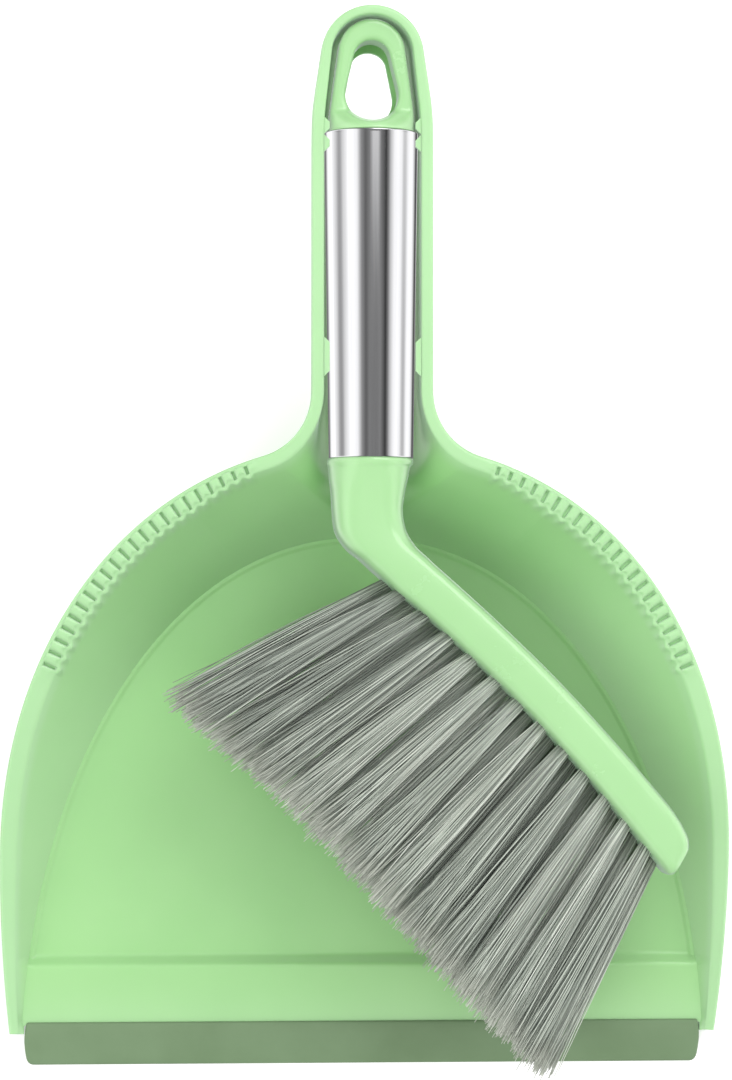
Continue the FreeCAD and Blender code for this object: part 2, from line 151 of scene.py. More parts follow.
# ------------------------------------------------------------------ mesh helpers
def new_object(name, verts, faces, scale=MM):
    mesh = bpy.data.meshes.new(name)
    mesh.from_pydata([tuple(float(c) * scale for c in v) for v in verts], [], faces)
    mesh.update()
    obj = bpy.data.objects.new(name, mesh)
    bpy.context.scene.collection.objects.link(obj)
    return obj


SHARP_DEG = 38.0


def clean(obj, merge=0.00001, sharp_deg=SHARP_DEG):
    """Weld doubles, drop slivers, point the faces outward and shade smooth with crisp edges."""
    mesh = obj.data
    bm = bmesh.new()
    bm.from_mesh(mesh)
    bmesh.ops.remove_doubles(bm, verts=bm.verts, dist=merge)
    bmesh.ops.dissolve_degenerate(bm, edges=bm.edges, dist=merge / 4)
    loose = [v for v in bm.verts if not v.link_faces]
    bmesh.ops.delete(bm, geom=loose, context="VERTS")
    bmesh.ops.recalc_face_normals(bm, faces=bm.faces)
    bm.to_mesh(mesh)
    bm.free()
    mesh.shade_smooth()
    mesh.set_sharp_from_angle(angle=math.radians(sharp_deg))
    return obj


def apply_modifiers(obj):
    bpy.context.view_layer.update()
    graph = bpy.context.evaluated_depsgraph_get()
    made = bpy.data.meshes.new_from_object(obj.evaluated_get(graph))
    obj.modifiers.clear()
    obj.data = made
    return obj


def lathe_y(name, outline, steps=96):
    """Closed ring shape round the grip's axis from (radius, y) pairs, closed on themselves."""
    verts = []
    faces = []
    count = len(outline)
    for i in range(steps):
        a = 2 * math.pi * i / steps
        for radius, y in outline:
            verts.append((radius * math.cos(a), y, AXIS_Z + radius * math.sin(a)))
    for i in range(steps):
        j = (i + 1) % steps
        for k in range(count):
            m = (k + 1) % count
            faces.append((i * count + k, i * count + m, j * count + m, j * count + k))
    return clean(new_object(name, verts, faces))


# ------------------------------------------------------------------ pan
def rim_z(y):
    """Top of the rim: a slope over the bowl that bends level for the handle."""
    slope = RIM_FRONT_Z + RIM_SLOPE * (y - FRONT_Y)
    soft = 3.0
    return RIM_TOP_Z - soft * np.logaddexp(0.0, (RIM_TOP_Z - slope) / soft)


def rounded_end(half, end_radius, end_y, low_y, taper_y):
    """Right side of a bar along Y that narrows softly from taper_y into a round end."""
    centre_y = end_y - end_radius
    run = centre_y - taper_y
    lean = math.acos(end_radius / math.hypot(half, run)) - math.atan2(run, half)
    touch_y = centre_y + end_radius * math.sin(lean)
    y = np.linspace(low_y, touch_y, 160)
    taper = half - (y - taper_y) * math.tan(lean)
    soft = 0.35
    x = -soft * np.logaddexp(-taper / soft, -half / soft)
    a = np.linspace(lean, math.pi / 2, 120)[1:]
    arc = np.stack([end_radius * np.cos(a), centre_y + end_radius * np.sin(a)], 1)
    return np.concatenate([np.stack([x, y], 1), arc])


def outer_curve():
    """Right half of the pan's outline as close points, with outward normals and run lengths."""
    side_y = np.linspace(FRONT_Y, BOWL_CENTRE_Y, 60)
    drop = (BOWL_CENTRE_Y - side_y) / (BOWL_CENTRE_Y - FRONT_Y)
    points = [np.stack([HALF_WIDTH - FRONT_DRAW_IN * drop ** 2, side_y], 1)]

    t = np.linspace(0.0, math.pi / 2, 3000)[1:]
    bowl = np.stack([HALF_WIDTH * np.cos(t) ** (2 / RIM_POWER),
                     BOWL_CENTRE_Y + BOWL_DEPTH * np.sin(t) ** (2 / RIM_POWER)], 1)
    along = np.gradient(bowl, axis=0)
    normal = np.stack([along[:, 1], -along[:, 0]], 1)
    normal /= np.linalg.norm(normal, axis=1)[:, None]
    centres = bowl + HANDLE_FILLET * normal
    meet = int(np.argmin(np.abs(centres[:, 0] - (HANDLE_HALF + HANDLE_FILLET))))
    centre = centres[meet]
    points.append(bowl[:meet + 1])
    start = math.atan2(bowl[meet, 1] - centre[1], bowl[meet, 0] - centre[0])
    turn = np.linspace(start % (2 * math.pi), math.pi, 80)[1:]
    points.append(centre + HANDLE_FILLET * np.stack([np.cos(turn), np.sin(turn)], 1))
    leg = rounded_end(HANDLE_HALF, HANDLE_END_RADIUS, HANDLE_END_Y, centre[1], TAPER_START_Y)
    points.append(leg[1:])

    curve = np.concatenate(points)
    step = np.linalg.norm(np.diff(curve, axis=0), axis=1)
    run = np.concatenate([[0], np.cumsum(step)])
    tangent = np.gradient(curve, run, axis=0)
    tangent /= np.linalg.norm(tangent, axis=1)[:, None]
    normal = np.stack([tangent[:, 1], -tangent[:, 0]], 1)
    flare = (bowl[meet, 1], centre[1])
    return curve, normal, run, flare


def groove_runs(curve, run):
    """Run lengths of the grooves' middles, evenly spaced along the comb."""
    bowl_part = curve[:, 1] < 24
    x = curve[bowl_part, 0]
    r = run[bowl_part]
    back = np.argmax(x)
    first = np.interp(-COMB_X[1], -x[back:], r[back:])
    last = np.interp(-COMB_X[0], -x[back:], r[back:])
    return np.linspace(first, last, GROOVES)


def stations(curve, run, grooves):
    """Run lengths where the pan's section is drawn, close together over the comb."""
    pitch = grooves[1] - grooves[0]
    side_end = np.interp(RAMP_BACK_Y + 3, curve[:200, 1], run[:200])
    lip_back = np.interp(LIP_BACK_Y, curve[:60, 1], run[:60])
    made = [np.linspace(0, lip_back, 4), np.linspace(lip_back, side_end, 40)]
    made.append(np.linspace(side_end, grooves[0] - pitch, 60))
    for g in grooves:
        edge = GROOVE_HALF
        made.append(g + np.array([-pitch / 2, -1.5, -1.1, -edge - 0.1, -edge + 0.08, 0.0,
                                  edge - 0.08, edge + 0.1, 1.1, 1.5]))
    tail = run[-1]
    made.append(np.linspace(grooves[-1] + pitch / 2, grooves[-1] + 45, 46))
    made.append(np.linspace(grooves[-1] + 45, tail - 45, 30))
    made.append(np.linspace(tail - 45, tail, 44))
    return np.unique(np.round(np.concatenate(made), 4))


def floor_edge_x(y):
    ratio = np.clip((y - FLOOR_CENTRE_Y) / FLOOR_DEPTH, 0, 1)
    return FLOOR_HALF * (1 - ratio ** FLOOR_POWER) ** (1 / FLOOR_POWER)


def ramp_z(y):
    """Height of the floor: flat, then a sharp step up and a slope down to the lip."""
    up = FLOOR_Z + (RAMP_CREST_Z - FLOOR_Z) * smooth((RAMP_BACK_Y - y) / (RAMP_BACK_Y - RAMP_CREST_Y))
    fall = np.clip((RAMP_CREST_Y - y) / (RAMP_CREST_Y - LIP_BACK_Y), 0, 1)
    down = blend(RAMP_CREST_Z, RAMP_FRONT_Z, fall)
    soft = 0.25
    lower = -soft * np.logaddexp(-up / soft, -down / soft)
    return np.where(y > RAMP_CREST_Y + 1.5, up, lower)


def centre_line_z(y):
    """Height of the pan's inner surface along x = 0, from the floor up into the channel."""
    wall = LEDGE_Z + (y - (FLOOR_CENTRE_Y + FLOOR_DEPTH)) * 2.0
    trough = AXIS_Z - CHANNEL_RADIUS - 9.0 * (1 - smooth((y - 6) / 34)) ** 1.5
    soft = 1.0
    return -soft * np.logaddexp(-wall / soft, -trough / soft)


def pan_section(s, curve, normal, run, grooves, flare, flare_run):
    """The pan's right-hand section at run length s.

    Gives the points of the top side, those of the underside, and whether the floor is there.
    """
    x = np.interp(s, run, curve[:, 0])
    y = np.interp(s, run, curve[:, 1])
    n = np.array([np.interp(s, run, normal[:, 0]), np.interp(s, run, normal[:, 1])])
    n /= np.linalg.norm(n)
    if abs(s - run[-1]) < 1e-3:
        n = np.array([0.0, 1.0])
        x = 0.0
    edge = np.array([x, y])
    top = float(rim_z(y))
    pitch = grooves[1] - grooves[0]
    in_comb = smooth((s - grooves[0] + pitch) / pitch) * smooth((grooves[-1] + pitch - s) / pitch)
    near = float(np.min(np.abs(grooves - s)))
    handleness = float(smooth((y - flare[0] + 2) / (flare[1] - flare[0])))
    end = float(smooth((y - TAPER_START_Y) / (HANDLE_END_Y - TAPER_START_Y)))

    band = float(np.interp(y, BAND_Y, BAND_WIDTH))
    band = blend(band, blend(HANDLE_BAND, HANDLE_END_BAND, end), handleness)
    scallop = SCALLOP * in_comb * (0.5 + 0.5 * math.cos(math.pi * min(near / (pitch / 2), 1.0)))
    band += scallop

    # where the wall ends: the floor edge, or the centre line of the channel
    inner = edge - band * n
    floor_apex = FLOOR_CENTRE_Y + FLOOR_DEPTH
    if y <= BOWL_CENTRE_Y:
        low = np.array([float(floor_edge_x(y)), y])
    else:
        share = (y - BOWL_CENTRE_Y) / (flare[0] - BOWL_CENTRE_Y)
        low_y = BOWL_CENTRE_Y + min(share, 1.0) * (floor_apex - BOWL_CENTRE_Y)
        low = np.array([float(floor_edge_x(low_y)), low_y])
    on_centre = s >= flare_run[0]
    if on_centre:
        away = (s - flare_run[0]) / (flare_run[1] - flare_run[0])
        low = np.array([0.0, blend(floor_apex, inner[1], float(np.clip(away, 0, 1)))])
        low_z = float(centre_line_z(low[1]))
        if away <= 0:
            low_z = LEDGE_Z
    elif y < LIP_BACK_Y - 1e-6:
        low = np.array([LIP_HALF + 0.1, y])
        low_z = RAMP_FRONT_Z
    else:
        low_z = max(LEDGE_Z, float(ramp_z(low[1])))

    # skirt, outer rounding and flange, as distances in from the edge and heights
    points = []
    for d, z in ((0.0, top - SKIRT), (0.0, top - SKIRT * 0.6), (0.0, top - 2.0)):
        points.append((d, z))
    for k in range(6):
        a = math.radians(90.0 * k / 5)
        points.append((OUTER_ROUND * (1 - math.cos(a)), top - OUTER_ROUND + OUTER_ROUND * math.sin(a)))
    flat = band - 1.0
    comb_spots = [1.15, 1.4, 1.75, blend(1.75, flat - 0.7, 0.5), flat - 0.7, flat - 0.4, flat - 0.12]
    even_spots = [blend(OUTER_ROUND, flat, (k + 1) / 8) for k in range(7)]
    spots = [blend(e, c, in_comb) for e, c in zip(even_spots, comb_spots)]
    across = min(near / (pitch / 2), 1.0)
    grooved = in_comb > 0.5 and near < GROOVE_HALF
    for index, d in enumerate(spots):
        ridge = RIDGE_CROWN * in_comb * (0.5 - 0.5 * math.cos(math.pi * smooth(across * 1.15)))
        z = top + ridge * (1.0, 1.0, 1.0, 1.0, 1.0, 0.8, 0.4)[index]
        if grooved and 1 <= index <= 5:
            z -= GROOVE_DEPTH * (0.3, 1.0, 1.0, 1.0, 0.3)[index - 1]
        points.append((d, z))
    plan = [edge - n * d for d, z in points]
    zs = [z for d, z in points]

    # inner rounding and wall
    v = np.linspace(0, 1, WALL_STEPS + 1)
    upright = RIM_TOP_Z - AXIS_Z
    arc_length = CHANNEL_RADIUS * math.pi / 2
    total = upright + arc_length
    along = v * total
    angle = np.clip((along - upright) / CHANNEL_RADIUS, 0, math.pi / 2)
    a_u = 1 - np.cos(angle)
    depth_u = np.where(along < upright, along, upright + CHANNEL_RADIUS * np.sin(angle))
    b_u = depth_u / (upright + CHANNEL_RADIUS)
    mix = float(smooth((s - flare_run[0]) / (flare_run[2] - flare_run[0])))
    a = blend(v, a_u, mix)
    b = blend(v, b_u, mix)
    plain = edge - (band - scallop) * n
    fade = np.clip(1 - v * total / SCALLOP_RUN, 0, 1)
    wall_top = plain + (inner - plain) * fade[:, None] ** 2
    wall_plan = wall_top + (low - wall_top) * a[:, None]
    wall_z = top + (low_z - top) * b
    # the turn over the inner edge is drawn as an arc between flange and wall
    first_dir = np.array([np.linalg.norm(wall_plan[2] - wall_plan[0]), wall_z[2] - wall_z[0]])
    first_dir /= np.linalg.norm(first_dir)
    toward = wall_plan[2] - wall_plan[0]
    norm = np.linalg.norm(toward)
    toward = toward / norm if norm > 1e-6 else -n
    for k in range(TURN_STEPS):
        q = (k + 0.5) / TURN_STEPS
        p0 = np.array([-INNER_ROUND, 0.0])
        p2 = first_dir * INNER_ROUND
        bend = (1 - q) ** 2 * p0 + q ** 2 * p2
        plan.append(inner + (toward if bend[0] >= 0 else n) * abs(bend[0]))
        zs.append(top + bend[1])
    for k in range(2, WALL_STEPS + 1):
        plan.append(wall_plan[k])
        zs.append(wall_z[k])

    # ledge
    low_floor = not on_centre and y >= LIP_BACK_Y - 1e-6
    if low_floor:
        e = 0.5
        tx = float(floor_edge_x(low[1] - e)) - float(floor_edge_x(min(low[1] + e, floor_apex - 1e-3)))
        inward = np.array([-2 * e, -tx])
        inward /= np.linalg.norm(inward)
        floor_here = float(ramp_z(low[1]))
        step = low_z - floor_here
        ledge = [
            (0.25, low_z - 0.03 * step),
            (LEDGE_WIDTH - 0.5, low_z - 0.06 * step),
            (LEDGE_WIDTH - 0.2, low_z - 0.2 * step),
            (LEDGE_WIDTH + 0.15, blend(low_z, floor_here, 0.6)),
            (LEDGE_WIDTH + 0.5, floor_here + 0.08 * step),
            (LEDGE_WIDTH + 0.9, floor_here),
        ]
        for d, z in ledge:
            q = low + inward * d
            plan.append(np.array([max(q[0], 0.03), q[1]]))
            zs.append(z)
    else:
        for _ in range(6):
            plan.append(low)
            zs.append(low_z)
    top_side = [(p[0], p[1], z) for p, z in zip(plan, zs)]

    # underside, from the bottom edge out to the skirt
    gap_z = blend(top - FLANGE_THICK, top - SKIRT, handleness)
    gap_z = max(gap_z, 0.4)
    under = []
    wall_pts = np.concatenate([wall_plan, wall_z[:, None]], 1)
    steps = np.gradient(wall_pts, axis=0)
    plan_len = np.linalg.norm(steps[:, :2], axis=1)
    length = np.sqrt(plan_len ** 2 + steps[:, 2] ** 2)
    sin = plan_len / length
    cos = -steps[:, 2] / length
    heading = -steps[:, :2] / np.maximum(plan_len, 1e-9)[:, None]
    out_dir = np.where(plan_len[:, None] > 1e-6, heading, n[None, :])
    out_dir = blend(out_dir, n[None, :], mix)
    shifted = wall_plan + out_dir * (WALL * cos)[:, None]
    shifted_z = wall_z - WALL * sin
    beside_wall = band - scallop - WALL
    inset = min(SKIRT_THICK, beside_wall)
    limit = edge - n * inset
    for k in range(WALL_STEPS, -1, -2):
        p = shifted[k]
        z = shifted_z[k]
        if k == WALL_STEPS:
            p = low
            z = 0.0
            if on_centre:
                z = max(low_z - blend(WALL / max(sin[k], 0.35), WALL, mix), 0.0)
        z = min(max(z, 0.0), gap_z - 0.03 * k - 0.02)
        z = max(z, 0.0)
        if on_centre:
            p = np.array([max(p[0], 0.0), p[1]])
        under.append((p[0], p[1], z))
    foot = edge - n * max(beside_wall, inset + 0.05)
    under.append((foot[0], foot[1], gap_z))
    under.append((limit[0], limit[1], gap_z))
    under.append((limit[0], limit[1], max(top - SKIRT, 0.0)))
    top_side = [(p[0], p[1], max(p[2], 0.0)) for p in top_side]
    return top_side, under, low_floor


def build_pan():
    curve, normal, run, flare = outer_curve()
    grooves = groove_runs(curve, run)
    flare_start = grooves[-1] + FLARE_GAP
    flare_end, shape_end = (float(np.interp(y, curve[-400:, 1], run[-400:]))
                            for y in (FLARE_END_Y, TROUGH_SHAPE_Y))
    flare_run = (flare_start, flare_end, shape_end)
    flare = (float(np.interp(flare_start, run, curve[:, 1])), flare[1])
    spots = stations(curve, run, grooves)
    spots = np.unique(np.append(spots, round(flare_start, 4)))
    tops, unders, floor_flags = [], [], []
    for s in spots:
        top_side, under, low_floor = pan_section(s, curve, normal, run, grooves, flare, flare_run)
        tops.append(top_side)
        unders.append(under)
        floor_flags.append(low_floor)
    tops = np.array(tops)
    unders = np.array(unders)
    count, across = tops.shape[:2]
    below = unders.shape[1]
    verts = []
    index = {}

    def put(key, p):
        index[key] = len(verts)
        verts.append(p)

    for side in (1, -1):
        for i in range(count):
            for k in range(across):
                p = tops[i, k]
                put((side, "t", i, k), (side * p[0], p[1], p[2]))
            for k in range(below):
                p = unders[i, k]
                put((side, "u", i, k), (side * p[0], p[1], p[2]))
    faces = []
    first_floor = floor_flags.index(True)
    last_floor = max(i for i in range(count) if floor_flags[i])

    def add_face(side, keys):
        ring = [index[(side, *key)] for key in keys]
        faces.append(tuple(ring if side == 1 else ring[::-1]))

    for side in (1, -1):
        for i in range(count - 1):
            j = i + 1
            for k in range(across - 1):
                add_face(side, (("t", i, k), ("t", j, k), ("t", j, k + 1), ("t", i, k + 1)))
            for k in range(below - 1):
                add_face(side, (("u", i, k), ("u", j, k), ("u", j, k + 1), ("u", i, k + 1)))
            add_face(side, (("u", i, below - 1), ("u", j, below - 1), ("t", j, 0), ("t", i, 0)))
            if i < first_floor:
                add_face(side, (("t", i, across - 1), ("t", j, across - 1), ("u", j, 0), ("u", i, 0)))
        add_face(side, [("t", 0, k) for k in range(across)] + [("u", 0, k) for k in range(below)])

    # floor: rungs between mirrored stations, on top and underneath
    columns = FLOOR_COLUMNS
    rung_top, rung_low = {}, {}
    for i in range(first_floor, last_floor + 1):
        for kind, k, store in (("t", across - 1, rung_top), ("u", 0, rung_low)):
            right = np.array(verts[index[(1, kind, i, k)]])
            row = [index[(1, kind, i, k)]]
            for c in range(1, columns):
                f = 1 - 2 * c / columns
                x = right[0] * f
                z = float(ramp_z(right[1])) if kind == "t" else 0.0
                verts.append((x, right[1], z))
                row.append(len(verts) - 1)
            row.append(index[(-1, kind, i, k)])
            store[i] = row
    for i in range(first_floor, last_floor):
        for c in range(columns):
            faces.append((rung_top[i][c], rung_top[i + 1][c], rung_top[i + 1][c + 1], rung_top[i][c + 1]))
            faces.append((rung_low[i][c + 1], rung_low[i + 1][c + 1], rung_low[i + 1][c], rung_low[i][c]))
    i = first_floor
    for c in range(columns):
        faces.append((rung_top[i][c], rung_top[i][c + 1], rung_low[i][c + 1], rung_low[i][c]))
    # the last rung closes on the centre line station
    i = last_floor
    for store, kind, k in ((rung_top, "t", across - 1), (rung_low, "u", 0)):
        tip = index[(1, kind, i + 1, k)]
        for c in range(columns):
            faces.append((store[i][c], store[i][c + 1], tip))
    pan = clean(new_object("pan_shell", verts, faces), merge=0.000004)
    mark_painted_rim_light(pan)
    return pan


def mark_painted_rim_light(pan):
    """Mark the rim top and the upper outside for a paler colour, painted light that fades out down the
    walls so the bowl stays darker.
    """
    co = np.array([v.co for v in pan.data.vertices]) / MM
    drop = rim_z(co[:, 1]) - co[:, 2]
    # painted light: tone is 1 on the rim top and falls to 0 some 3.8 mm down, so the lit rim is painted
    # paler than the bowl
    tone = 1 - smooth((drop - 0.3) / 3.5)
    values = np.stack([tone, tone, tone, np.ones(len(tone))], 1)
    layer = pan.data.color_attributes.new("painted_rim_light", "FLOAT_COLOR", "POINT")
    layer.data.foreach_set("color", values.astype(np.float32).ravel())


# ------------------------------------------------------------------ rubber lip
def lip_section(depth, top):
    """Distances in front of the lip's back and heights, from the back foot round to it again."""
    rise = LIP_FRONT_RISE
    flat_end = LIP_FLAT + 0.5
    section = [(0.0, 0.35), (0.0, top - 0.7), (0.12, top - 0.3), (0.45, top - 0.06), (1.0, top)]
    section.append((flat_end, top - 0.05))
    for k in range(1, 9):
        f = k / 8
        section.append((flat_end + (depth - LIP_FLAT - 1.3) * f, blend(top - 0.05, rise, f ** 1.15)))
    section += [(depth - 0.35, rise - 0.22), (depth - 0.08, rise - 0.5), (depth, rise - 0.8)]
    section += [(depth - 0.12, 0.25), (depth - 0.5, 0.04), (depth - 1.2, 0.0)]
    section += [(depth * 0.5, 0.0), (1.0, 0.0), (0.3, 0.05)]
    return np.array(section)


def build_lip():
    low, high = LIP_LOW, LIP_HIGH
    depth = high[1] - low[1]
    section = lip_section(depth, high[2])
    corner = LIP_CORNER
    edge_round = 0.8
    from_end = np.array([0.0, 0.06, 0.2, 0.45, 0.8, 1.3, 1.9, 2.6, 4.0, 8.0])
    half = LIP_HALF
    left = -half + from_end
    middle = np.linspace(-half + 14, half - 14, 40)
    xs = np.concatenate([left, middle, half - from_end[::-1]])
    verts = []
    for x in xs:
        near = half - abs(x)
        t = np.clip(near / corner, 0, 1)
        cut = corner * (1 - math.sqrt(1 - (1 - t) ** 2))
        turn = 1 - np.clip(near / edge_round, 0, 1)
        back_cut = edge_round * (1 - math.sqrt(1 - turn ** 2))
        squash = 1 - 0.22 * turn ** 2
        for d, z in section:
            share = d / depth
            y = high[1] - back_cut - share * (depth - cut - back_cut)
            bow = -0.5 * (2 * share - 1) ** 2 * (1 - np.clip(near / 3, 0, 1)) * math.copysign(1, x)
            verts.append((x + bow, y, z * squash))
    n = len(section)
    faces = []
    for i in range(len(xs) - 1):
        for k in range(n):
            m = (k + 1) % n
            faces.append((i * n + k, (i + 1) * n + k, (i + 1) * n + m, i * n + m))
    faces.append(tuple(range(n))[::-1])
    faces.append(tuple((len(xs) - 1) * n + k for k in range(n)))
    return clean(new_object("lip_strip", verts, faces), merge=0.000002, sharp_deg=50)


# ------------------------------------------------------------------ brush stock
# x, y, heading from +Y in degrees, half width in plan, half height, squareness
HEAD_STATIONS = np.array([
    (-0.2, 24.3, 180.0, 12.3, 12.3, 2.0),
    (-0.2, 24.0, 180.0, 12.6, 12.6, 2.0),
    (-0.3, 23.2, 180.0, 12.8, 12.75, 2.05),
    (-0.4, 22.4, 180.0, 12.6, 12.7, 2.1),
    (-0.5, 22.0, 180.0, 12.3, 12.6, 2.15),
    (-0.6, 21.4, 180.0, 12.1, 12.5, 2.2),
    (-0.8, 18.5, 180.0, 11.7, 12.4, 2.5),
    (-1.0, 14.6, 180.0, 11.0, 12.4, 3.0),
    (-1.2, 8.7, 180.0, 10.4, 12.5, 3.5),
    (-0.4, 3.1, 181.4, 10.4, 12.6, 3.8),
    (0.9, 0.3, 182.5, 10.25, 12.7, 4.0),
    (2.5, -1.8, 187.2, 9.6, 12.8, 4.1),
    (4.9, -4.0, 193.5, 8.4, 12.9, 4.3),
    (7.1, -6.1, 201.5, 7.7, 13.0, 4.5),
    (9.8, -8.5, 209.6, 7.25, 13.1, 4.6),
    (13.1, -11.6, 218.0, 7.0, 13.2, 4.7),
    (17.5, -15.3, 224.0, 6.75, 13.3, 4.8),
    (31.05, -27.5, 225.9, 6.7, 13.4, 4.8),
    (50.0, -45.8, 223.8, 6.65, 13.4, 4.8),
    (68.1, -65.5, 221.6, 6.65, 13.4, 4.8),
    (77.4, -76.5, 221.5, 6.7, 13.4, 4.8),
    (82.8, -83.0, 228.0, 6.85, 13.4, 4.8),
    (86.4, -87.6, 236.0, 6.9, 13.3, 4.7),
    (88.8, -90.9, 241.5, 6.8, 13.1, 4.6),
    (90.3, -93.3, 240.5, 6.2, 12.6, 4.4),
    (91.1, -94.4, 240.0, 5.1, 11.6, 4.1),
])


def curve_through(rows, per_span):
    """Catmull-Rom rows between the stations, with unequal spacing allowed for."""
    gaps = np.linalg.norm(np.diff(rows[:, :2], axis=0), axis=1)
    knots = np.concatenate([[0], np.cumsum(np.sqrt(gaps) + 0.02)])
    slopes = np.gradient(rows, knots, axis=0)
    out = []
    for i in range(len(rows) - 1):
        h = knots[i + 1] - knots[i]
        for k in range(per_span):
            t = k / per_span
            start = (2 * t ** 3 - 3 * t ** 2 + 1) * rows[i] + (t ** 3 - 2 * t ** 2 + t) * h * slopes[i]
            out.append(start + (-2 * t ** 3 + 3 * t ** 2) * rows[i + 1]
                       + (t ** 3 - t ** 2) * h * slopes[i + 1])
    out.append(rows[-1])
    return np.array(out)


def build_stock():
    rows = curve_through(HEAD_STATIONS, 5)
    around = 72
    verts = []
    for x, y, heading, half_plan, half_z, square in rows:
        side = np.array([math.cos(math.radians(heading)), math.sin(math.radians(heading))])
        for i in range(around):
            a = 2 * math.pi * i / around
            c, s = math.cos(a), math.sin(a)
            u = math.copysign(abs(c) ** (2 / square), c) * half_plan
            w = math.copysign(abs(s) ** (2 / square), s) * half_z
            verts.append((x + side[0] * u, y + side[1] * u, AXIS_Z + w))
    faces = []
    for i in range(len(rows) - 1):
        for k in range(around):
            m = (k + 1) % around
            faces.append((i * around + k, i * around + m, (i + 1) * around + m, (i + 1) * around + k))
    faces.append(tuple(range(around)))
    faces.append(tuple((len(rows) - 1) * around + k for k in range(around))[::-1])
    return clean(new_object("brush_body", verts, faces), merge=0.000002, sharp_deg=60)


# ------------------------------------------------------------------ steel sleeve
def build_sleeve():
    low_y, high_y = SLEEVE_LOW[1], SLEEVE_HIGH[1]
    high_r = SLEEVE_HIGH[0]
    low_r = high_r - SLEEVE_TAPER
    lip = SLEEVE_WALL / 2
    outline = []
    for k in range(5):
        a = math.radians(90 * k / 4)
        outline.append((low_r - lip * (1 - math.sin(a)), low_y + lip * (1 - math.cos(a))))
    for f in (0.004, 0.01, *np.linspace(0.04, 0.96, 12), 0.99, 0.996):
        outline.append((blend(low_r, high_r, f), blend(low_y, high_y, f)))
    for k in range(5):
        a = math.radians(90 * k / 4)
        outline.append((high_r - lip * (1 - math.cos(a)), high_y - lip * (1 - math.sin(a))))
    outline += [(high_r - SLEEVE_WALL, high_y), (low_r - SLEEVE_WALL, low_y)]
    return lathe_y("grip_sleeve", outline, steps=128)


# ------------------------------------------------------------------ loop cap
def slot_points(low_y, high_y, low_half, high_half, steps=28):
    """Egg-shaped outline, wide at the low end, anticlockwise."""
    low_c = low_y + low_half
    high_c = high_y - high_half
    lean = math.asin((low_half - high_half) / (high_c - low_c))
    top = [(high_half * math.cos(a), high_c + high_half * math.sin(a))
           for a in np.linspace(lean, math.pi - lean, steps)]
    bottom = [(low_half * math.cos(a), low_c + low_half * math.sin(a))
              for a in np.linspace(math.pi - lean, 2 * math.pi + lean, steps)]
    return top + bottom


def build_cap():
    half = SLEEVE_HIGH[0] - SLEEVE_WALL
    base_y = SLEEVE_HIGH[1]
    right = rounded_end(half, CAP_END_RADIUS, CAP_HIGH[1], base_y - 1.0, base_y)
    outer = [tuple(p) for p in right] + [(-x, y) for x, y in right[-2::-1]]
    hole = slot_points(*CAP_HOLE)
    data = bpy.data.curves.new("loop", "CURVE")
    data.dimensions = "2D"
    data.fill_mode = "BOTH"
    data.extrude = (CAP_HALF_THICK - CAP_ROUNDING) * MM
    data.bevel_depth = CAP_ROUNDING * MM
    data.bevel_resolution = 5
    data.offset = -CAP_ROUNDING * MM
    for ring in (outer, hole[::-1]):
        spline = data.splines.new("POLY")
        spline.points.add(len(ring) - 1)
        for p, (x, y) in zip(spline.points, ring):
            p.co = (x * MM, y * MM, 0, 1)
        spline.use_cyclic_u = True
    obj = bpy.data.objects.new("loop_curve", data)
    bpy.context.scene.collection.objects.link(obj)
    obj.location.z = AXIS_Z * MM
    bpy.context.view_layer.update()
    graph = bpy.context.evaluated_depsgraph_get()
    mesh = bpy.data.meshes.new_from_object(obj.evaluated_get(graph))
    mesh.transform(obj.matrix_world)
    bpy.data.objects.remove(obj)
    cap = bpy.data.objects.new("hang_loop", mesh)
    bpy.context.scene.collection.objects.link(cap)
    remesh = cap.modifiers.new("remesh", "REMESH")
    remesh.mode = "VOXEL"
    remesh.voxel_size = CAP_VOXEL * MM
    apply_modifiers(cap)
    swell_cap(cap, base_y)
    even = cap.modifiers.new("even", "SMOOTH")
    even.factor = 0.5
    even.iterations = 4
    apply_modifiers(cap)
    cap.data.shade_smooth()
    return cap


def swell_cap(cap, base_y):
    """Thicken the loop towards the grip until it meets the grip's round end."""
    r = SLEEVE_HIGH[0] - 0.15
    co = np.array([v.co for v in cap.data.vertices]) / MM
    level = co[:, 2] - AXIS_Z
    grow = 1 - smooth((co[:, 1] - base_y) / CAP_SWELL_RUN)
    circle = np.sqrt(np.maximum(r * r - np.clip(co[:, 0], -r, r) ** 2, 0.04))
    share = np.clip(np.abs(level) / CAP_HALF_THICK, 0, 1)
    target = share * blend(CAP_HALF_THICK, circle, grow)
    limit = np.where(np.abs(co[:, 0]) > 0.75 * r, np.minimum(target, circle), target)
    co[:, 2] = AXIS_Z + np.sign(level) * blend(np.abs(level), limit, smooth(grow * 3))
    co[:, 1] = np.maximum(co[:, 1], base_y + 0.05)
    for v, c in zip(cap.data.vertices, co):
        v.co = c * MM
    cap.data.update()


def cut_hang_hole(pan):
    """Cut the handle's hanging hole with a prism of its outline."""
    ring = slot_points(*HANDLE_HOLE)
    count = len(ring)
    verts = [(x, y, z) for z in HANDLE_HOLE_Z for x, y in ring]
    faces = [tuple(range(count))[::-1], tuple(range(count, 2 * count))]
    for i in range(count):
        j = (i + 1) % count
        faces.append((i, j, j + count, i + count))
    hole = new_object("hole_cutter", verts, faces)
    cut = pan.modifiers.new("hang_hole", "BOOLEAN")
    cut.operation = "DIFFERENCE"
    cut.solver = "EXACT"
    cut.object = hole
    apply_modifiers(pan)
    bpy.data.objects.remove(hole)
    pan.data.shade_smooth()
    pan.data.set_sharp_from_angle(angle=math.radians(SHARP_DEG))


